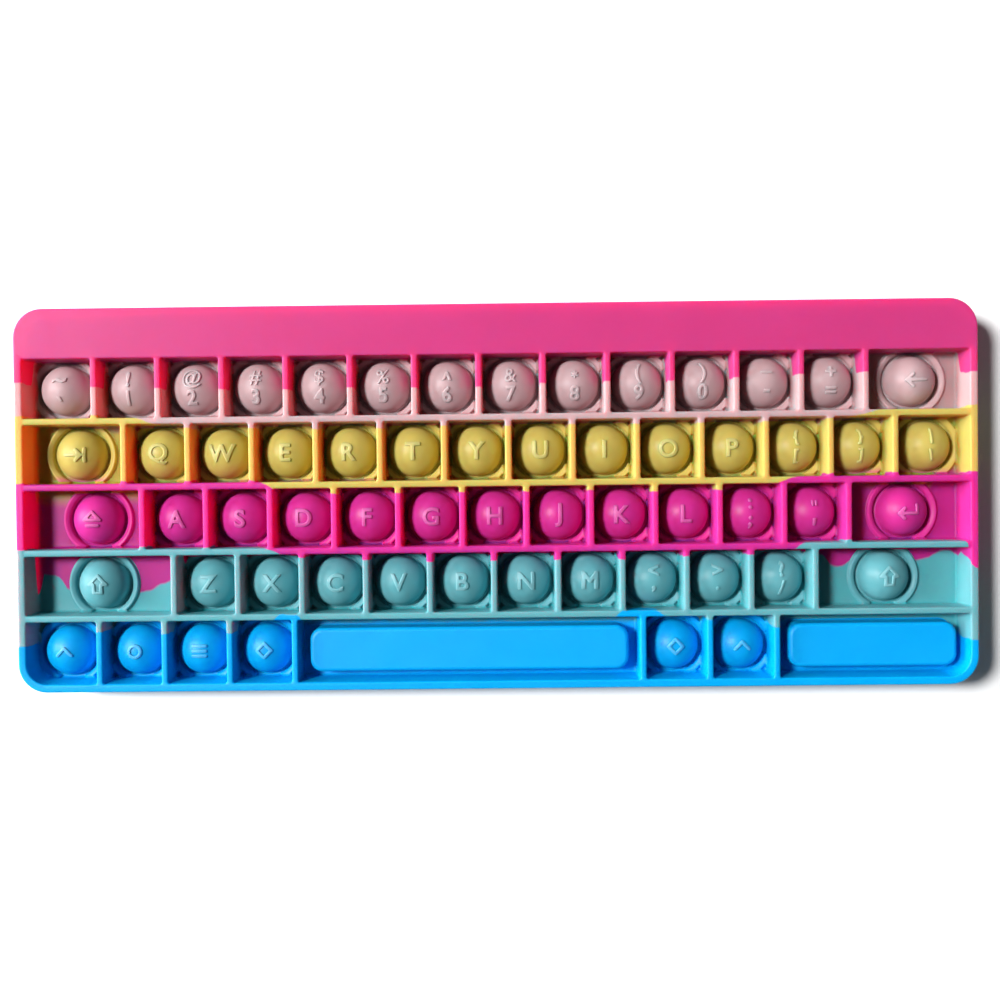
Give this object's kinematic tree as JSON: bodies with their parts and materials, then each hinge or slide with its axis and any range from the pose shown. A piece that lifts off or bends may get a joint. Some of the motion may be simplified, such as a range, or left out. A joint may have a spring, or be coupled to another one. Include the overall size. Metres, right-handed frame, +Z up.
{
  "type": "pop bubble keyboard fidget toy",
  "caption": "Flat silicone fidget tray laid out like a small keyboard, with push-through pop bubbles in square cells, raised bars in the bottom row and a plain rail along the back.",
  "frame": {"origin": "middle of the underside, on the plane of the skirt's bottom edge", "axes": "+X along the rows from the tab side to the enter side, +Y from the bar row towards the plain rail, +Z up out of the cells"},
  "size_m": [0.301, 0.1204, 0.018],
  "materials": {
    "silicone_hot_pink": "soft satin silicone; the tray changes from hot pink to pale pink, yellow, magenta, teal and blue row by row",
    "silicone_pale_pink": "soft satin silicone",
    "silicone_yellow": "soft satin silicone",
    "silicone_magenta": "soft satin silicone",
    "silicone_teal": "soft satin silicone",
    "silicone_blue": "soft satin silicone"
  },
  "bodies": {
    "tray": {"tray": "silicone_hot_pink"},
    "bubble_backquote": {"bubble_backquote": "silicone_pale_pink"},
    "bubble_1": {"bubble_1": "silicone_pale_pink"},
    "bubble_2": {"bubble_2": "silicone_pale_pink"},
    "bubble_3": {"bubble_3": "silicone_pale_pink"},
    "bubble_4": {"bubble_4": "silicone_pale_pink"},
    "bubble_5": {"bubble_5": "silicone_pale_pink"},
    "bubble_6": {"bubble_6": "silicone_pale_pink"},
    "bubble_7": {"bubble_7": "silicone_pale_pink"},
    "bubble_8": {"bubble_8": "silicone_pale_pink"},
    "bubble_9": {"bubble_9": "silicone_pale_pink"},
    "bubble_0": {"bubble_0": "silicone_pale_pink"},
    "bubble_minus": {"bubble_minus": "silicone_pale_pink"},
    "bubble_equals": {"bubble_equals": "silicone_pale_pink"},
    "bubble_backspace": {"bubble_backspace": "silicone_pale_pink"},
    "bubble_tab": {"bubble_tab": "silicone_yellow"},
    "bubble_q": {"bubble_q": "silicone_yellow"},
    "bubble_w": {"bubble_w": "silicone_yellow"},
    "bubble_e": {"bubble_e": "silicone_yellow"},
    "bubble_r": {"bubble_r": "silicone_yellow"},
    "bubble_t": {"bubble_t": "silicone_yellow"},
    "bubble_y": {"bubble_y": "silicone_yellow"},
    "bubble_u": {"bubble_u": "silicone_yellow"},
    "bubble_i": {"bubble_i": "silicone_yellow"},
    "bubble_o": {"bubble_o": "silicone_yellow"},
    "bubble_p": {"bubble_p": "silicone_yellow"},
    "bubble_bracket_left": {"bubble_bracket_left": "silicone_yellow"},
    "bubble_bracket_right": {"bubble_bracket_right": "silicone_yellow"},
    "bubble_backslash": {"bubble_backslash": "silicone_yellow"},
    "bubble_caps": {"bubble_caps": "silicone_magenta"},
    "bubble_a": {"bubble_a": "silicone_magenta"},
    "bubble_s": {"bubble_s": "silicone_magenta"},
    "bubble_d": {"bubble_d": "silicone_magenta"},
    "bubble_f": {"bubble_f": "silicone_magenta"},
    "bubble_g": {"bubble_g": "silicone_magenta"},
    "bubble_h": {"bubble_h": "silicone_magenta"},
    "bubble_j": {"bubble_j": "silicone_magenta"},
    "bubble_k": {"bubble_k": "silicone_magenta"},
    "bubble_l": {"bubble_l": "silicone_magenta"},
    "bubble_semicolon": {"bubble_semicolon": "silicone_magenta"},
    "bubble_quote": {"bubble_quote": "silicone_magenta"},
    "bubble_enter": {"bubble_enter": "silicone_magenta"},
    "bubble_shift_left": {"bubble_shift_left": "silicone_teal"},
    "bubble_z": {"bubble_z": "silicone_teal"},
    "bubble_x": {"bubble_x": "silicone_teal"},
    "bubble_c": {"bubble_c": "silicone_teal"},
    "bubble_v": {"bubble_v": "silicone_teal"},
    "bubble_b": {"bubble_b": "silicone_teal"},
    "bubble_n": {"bubble_n": "silicone_teal"},
    "bubble_m": {"bubble_m": "silicone_teal"},
    "bubble_comma": {"bubble_comma": "silicone_teal"},
    "bubble_period": {"bubble_period": "silicone_teal"},
    "bubble_slash": {"bubble_slash": "silicone_teal"},
    "bubble_shift_right": {"bubble_shift_right": "silicone_teal"},
    "bubble_control_left": {"bubble_control_left": "silicone_blue"},
    "bubble_function": {"bubble_function": "silicone_blue"},
    "bubble_menu": {"bubble_menu": "silicone_blue"},
    "bubble_alt_left": {"bubble_alt_left": "silicone_blue"},
    "bubble_alt_right": {"bubble_alt_right": "silicone_blue"},
    "bubble_control_right": {"bubble_control_right": "silicone_blue"}
  },
  "joints": [
    {"name": "pop_backquote", "type": "slide", "parent": "tray", "child": "bubble_backquote", "axis": [0, 0, -1], "range_m": [0, 0.0142]},
    {"name": "pop_1", "type": "slide", "parent": "tray", "child": "bubble_1", "axis": [0, 0, -1], "range_m": [0, 0.0142]},
    {"name": "pop_2", "type": "slide", "parent": "tray", "child": "bubble_2", "axis": [0, 0, -1], "range_m": [0, 0.0142]},
    {"name": "pop_3", "type": "slide", "parent": "tray", "child": "bubble_3", "axis": [0, 0, -1], "range_m": [0, 0.0142]},
    {"name": "pop_4", "type": "slide", "parent": "tray", "child": "bubble_4", "axis": [0, 0, -1], "range_m": [0, 0.0142]},
    {"name": "pop_5", "type": "slide", "parent": "tray", "child": "bubble_5", "axis": [0, 0, -1], "range_m": [0, 0.0142]},
    {"name": "pop_6", "type": "slide", "parent": "tray", "child": "bubble_6", "axis": [0, 0, -1], "range_m": [0, 0.0142]},
    {"name": "pop_7", "type": "slide", "parent": "tray", "child": "bubble_7", "axis": [0, 0, -1], "range_m": [0, 0.0142]},
    {"name": "pop_8", "type": "slide", "parent": "tray", "child": "bubble_8", "axis": [0, 0, -1], "range_m": [0, 0.0142]},
    {"name": "pop_9", "type": "slide", "parent": "tray", "child": "bubble_9", "axis": [0, 0, -1], "range_m": [0, 0.0142]},
    {"name": "pop_0", "type": "slide", "parent": "tray", "child": "bubble_0", "axis": [0, 0, -1], "range_m": [0, 0.0142]},
    {"name": "pop_minus", "type": "slide", "parent": "tray", "child": "bubble_minus", "axis": [0, 0, -1], "range_m": [0, 0.0142]},
    {"name": "pop_equals", "type": "slide", "parent": "tray", "child": "bubble_equals", "axis": [0, 0, -1], "range_m": [0, 0.0142]},
    {"name": "pop_backspace", "type": "slide", "parent": "tray", "child": "bubble_backspace", "axis": [0, 0, -1], "range_m": [0, 0.0142]},
    {"name": "pop_tab", "type": "slide", "parent": "tray", "child": "bubble_tab", "axis": [0, 0, -1], "range_m": [0, 0.0142]},
    {"name": "pop_q", "type": "slide", "parent": "tray", "child": "bubble_q", "axis": [0, 0, -1], "range_m": [0, 0.0142]},
    {"name": "pop_w", "type": "slide", "parent": "tray", "child": "bubble_w", "axis": [0, 0, -1], "range_m": [0, 0.0142]},
    {"name": "pop_e", "type": "slide", "parent": "tray", "child": "bubble_e", "axis": [0, 0, -1], "range_m": [0, 0.0142]},
    {"name": "pop_r", "type": "slide", "parent": "tray", "child": "bubble_r", "axis": [0, 0, -1], "range_m": [0, 0.0142]},
    {"name": "pop_t", "type": "slide", "parent": "tray", "child": "bubble_t", "axis": [0, 0, -1], "range_m": [0, 0.0142]},
    {"name": "pop_y", "type": "slide", "parent": "tray", "child": "bubble_y", "axis": [0, 0, -1], "range_m": [0, 0.0142]},
    {"name": "pop_u", "type": "slide", "parent": "tray", "child": "bubble_u", "axis": [0, 0, -1], "range_m": [0, 0.0142]},
    {"name": "pop_i", "type": "slide", "parent": "tray", "child": "bubble_i", "axis": [0, 0, -1], "range_m": [0, 0.0142]},
    {"name": "pop_o", "type": "slide", "parent": "tray", "child": "bubble_o", "axis": [0, 0, -1], "range_m": [0, 0.0142]},
    {"name": "pop_p", "type": "slide", "parent": "tray", "child": "bubble_p", "axis": [0, 0, -1], "range_m": [0, 0.0142]},
    {"name": "pop_bracket_left", "type": "slide", "parent": "tray", "child": "bubble_bracket_left", "axis": [0, 0, -1], "range_m": [0, 0.0142]},
    {"name": "pop_bracket_right", "type": "slide", "parent": "tray", "child": "bubble_bracket_right", "axis": [0, 0, -1], "range_m": [0, 0.0142]},
    {"name": "pop_backslash", "type": "slide", "parent": "tray", "child": "bubble_backslash", "axis": [0, 0, -1], "range_m": [0, 0.0142]},
    {"name": "pop_caps", "type": "slide", "parent": "tray", "child": "bubble_caps", "axis": [0, 0, -1], "range_m": [0, 0.0142]},
    {"name": "pop_a", "type": "slide", "parent": "tray", "child": "bubble_a", "axis": [0, 0, -1], "range_m": [0, 0.0142]},
    {"name": "pop_s", "type": "slide", "parent": "tray", "child": "bubble_s", "axis": [0, 0, -1], "range_m": [0, 0.0142]},
    {"name": "pop_d", "type": "slide", "parent": "tray", "child": "bubble_d", "axis": [0, 0, -1], "range_m": [0, 0.0142]},
    {"name": "pop_f", "type": "slide", "parent": "tray", "child": "bubble_f", "axis": [0, 0, -1], "range_m": [0, 0.0142]},
    {"name": "pop_g", "type": "slide", "parent": "tray", "child": "bubble_g", "axis": [0, 0, -1], "range_m": [0, 0.0142]},
    {"name": "pop_h", "type": "slide", "parent": "tray", "child": "bubble_h", "axis": [0, 0, -1], "range_m": [0, 0.0142]},
    {"name": "pop_j", "type": "slide", "parent": "tray", "child": "bubble_j", "axis": [0, 0, -1], "range_m": [0, 0.0142]},
    {"name": "pop_k", "type": "slide", "parent": "tray", "child": "bubble_k", "axis": [0, 0, -1], "range_m": [0, 0.0142]},
    {"name": "pop_l", "type": "slide", "parent": "tray", "child": "bubble_l", "axis": [0, 0, -1], "range_m": [0, 0.0142]},
    {"name": "pop_semicolon", "type": "slide", "parent": "tray", "child": "bubble_semicolon", "axis": [0, 0, -1], "range_m": [0, 0.0142]},
    {"name": "pop_quote", "type": "slide", "parent": "tray", "child": "bubble_quote", "axis": [0, 0, -1], "range_m": [0, 0.0142]},
    {"name": "pop_enter", "type": "slide", "parent": "tray", "child": "bubble_enter", "axis": [0, 0, -1], "range_m": [0, 0.0142]},
    {"name": "pop_shift_left", "type": "slide", "parent": "tray", "child": "bubble_shift_left", "axis": [0, 0, -1], "range_m": [0, 0.0142]},
    {"name": "pop_z", "type": "slide", "parent": "tray", "child": "bubble_z", "axis": [0, 0, -1], "range_m": [0, 0.0142]},
    {"name": "pop_x", "type": "slide", "parent": "tray", "child": "bubble_x", "axis": [0, 0, -1], "range_m": [0, 0.0142]},
    {"name": "pop_c", "type": "slide", "parent": "tray", "child": "bubble_c", "axis": [0, 0, -1], "range_m": [0, 0.0142]},
    {"name": "pop_v", "type": "slide", "parent": "tray", "child": "bubble_v", "axis": [0, 0, -1], "range_m": [0, 0.0142]},
    {"name": "pop_b", "type": "slide", "parent": "tray", "child": "bubble_b", "axis": [0, 0, -1], "range_m": [0, 0.0142]},
    {"name": "pop_n", "type": "slide", "parent": "tray", "child": "bubble_n", "axis": [0, 0, -1], "range_m": [0, 0.0142]},
    {"name": "pop_m", "type": "slide", "parent": "tray", "child": "bubble_m", "axis": [0, 0, -1], "range_m": [0, 0.0142]},
    {"name": "pop_comma", "type": "slide", "parent": "tray", "child": "bubble_comma", "axis": [0, 0, -1], "range_m": [0, 0.0142]},
    {"name": "pop_period", "type": "slide", "parent": "tray", "child": "bubble_period", "axis": [0, 0, -1], "range_m": [0, 0.0142]},
    {"name": "pop_slash", "type": "slide", "parent": "tray", "child": "bubble_slash", "axis": [0, 0, -1], "range_m": [0, 0.0142]},
    {"name": "pop_shift_right", "type": "slide", "parent": "tray", "child": "bubble_shift_right", "axis": [0, 0, -1], "range_m": [0, 0.0142]},
    {"name": "pop_control_left", "type": "slide", "parent": "tray", "child": "bubble_control_left", "axis": [0, 0, -1], "range_m": [0, 0.0142]},
    {"name": "pop_function", "type": "slide", "parent": "tray", "child": "bubble_function", "axis": [0, 0, -1], "range_m": [0, 0.0142]},
    {"name": "pop_menu", "type": "slide", "parent": "tray", "child": "bubble_menu", "axis": [0, 0, -1], "range_m": [0, 0.0142]},
    {"name": "pop_alt_left", "type": "slide", "parent": "tray", "child": "bubble_alt_left", "axis": [0, 0, -1], "range_m": [0, 0.0142]},
    {"name": "pop_alt_right", "type": "slide", "parent": "tray", "child": "bubble_alt_right", "axis": [0, 0, -1], "range_m": [0, 0.0142]},
    {"name": "pop_control_right", "type": "slide", "parent": "tray", "child": "bubble_control_right", "axis": [0, 0, -1], "range_m": [0, 0.0142]}
  ]
}
